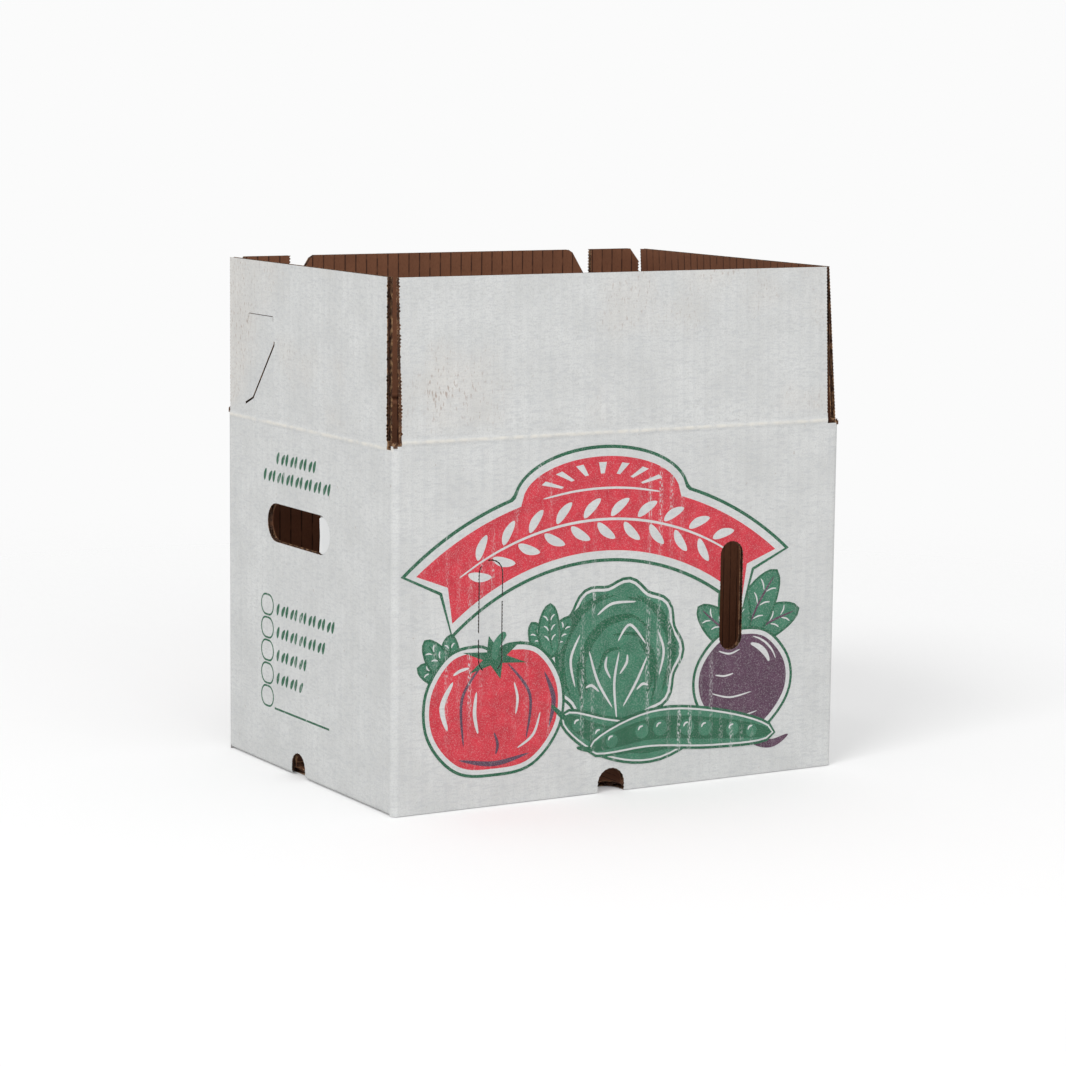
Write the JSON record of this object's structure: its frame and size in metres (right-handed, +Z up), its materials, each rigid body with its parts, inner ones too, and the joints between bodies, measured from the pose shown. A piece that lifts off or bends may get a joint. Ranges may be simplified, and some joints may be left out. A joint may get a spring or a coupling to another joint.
{
  "type": "produce box",
  "caption": "Open corrugated produce carton with hinged top flaps, hand holes, wall slots, locking tabs and a glued bottom.",
  "frame": {"origin": "on the floor, under the middle of the carton's outside", "axes": "+Z up, -Y the printed long wall that faces the viewer, +X along that wall to the viewer's right"},
  "size_m": [0.33, 0.238, 0.331],
  "materials": {
    "board": "matte"
  },
  "bodies": {
    "carton": {"carton": "board"},
    "front_flap": {"front_flap": "board"},
    "back_flap": {"back_flap": "board"},
    "left_flap": {"left_flap": "board"},
    "right_flap": {"right_flap": "board"}
  },
  "joints": [
    {"name": "front_crease", "type": "hinge", "parent": "carton", "child": "front_flap", "pos_m": [0, -0.119, 0.231], "axis": [-1, 0, 0], "range_deg": [-172, 88]},
    {"name": "back_crease", "type": "hinge", "parent": "carton", "child": "back_flap", "pos_m": [0, 0.119, 0.231], "axis": [1, 0, 0], "range_deg": [-170, 90]},
    {"name": "left_crease", "type": "hinge", "parent": "carton", "child": "left_flap", "pos_m": [-0.165, 0, 0.227], "axis": [0, 1, 0], "range_deg": [-170, 90]},
    {"name": "right_crease", "type": "hinge", "parent": "carton", "child": "right_flap", "pos_m": [0.165, 0, 0.227], "axis": [0, -1, 0], "range_deg": [-173, 87]}
  ]
}
